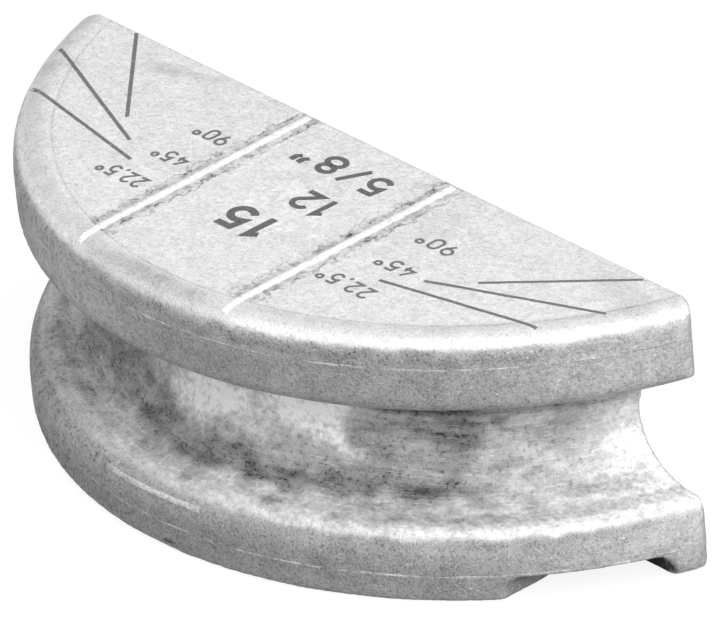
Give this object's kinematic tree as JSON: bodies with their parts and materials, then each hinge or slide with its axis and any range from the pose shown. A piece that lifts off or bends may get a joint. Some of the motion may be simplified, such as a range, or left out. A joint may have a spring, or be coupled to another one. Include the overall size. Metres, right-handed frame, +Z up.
{
  "type": "pipe bender former",
  "caption": "Half-moon casting with a half-round groove along its arc, over which a tube is bent, and a blind socket in its flat back for the bender's ram.",
  "frame": {"origin": "middle of the footprint, on the plane that the pad and the feet rest on", "axes": "+X along the flat back face, -Y from the back face to the crown of the arc, +Z up through the marked top face"},
  "size_m": [0.1114, 0.0424, 0.0373],
  "materials": {
    "casting": "sand-grained as-cast aluminium, worn bright on the edges and smoother in the groove"
  },
  "bodies": {
    "root": {"former": "casting"}
  },
  "joints": []
}
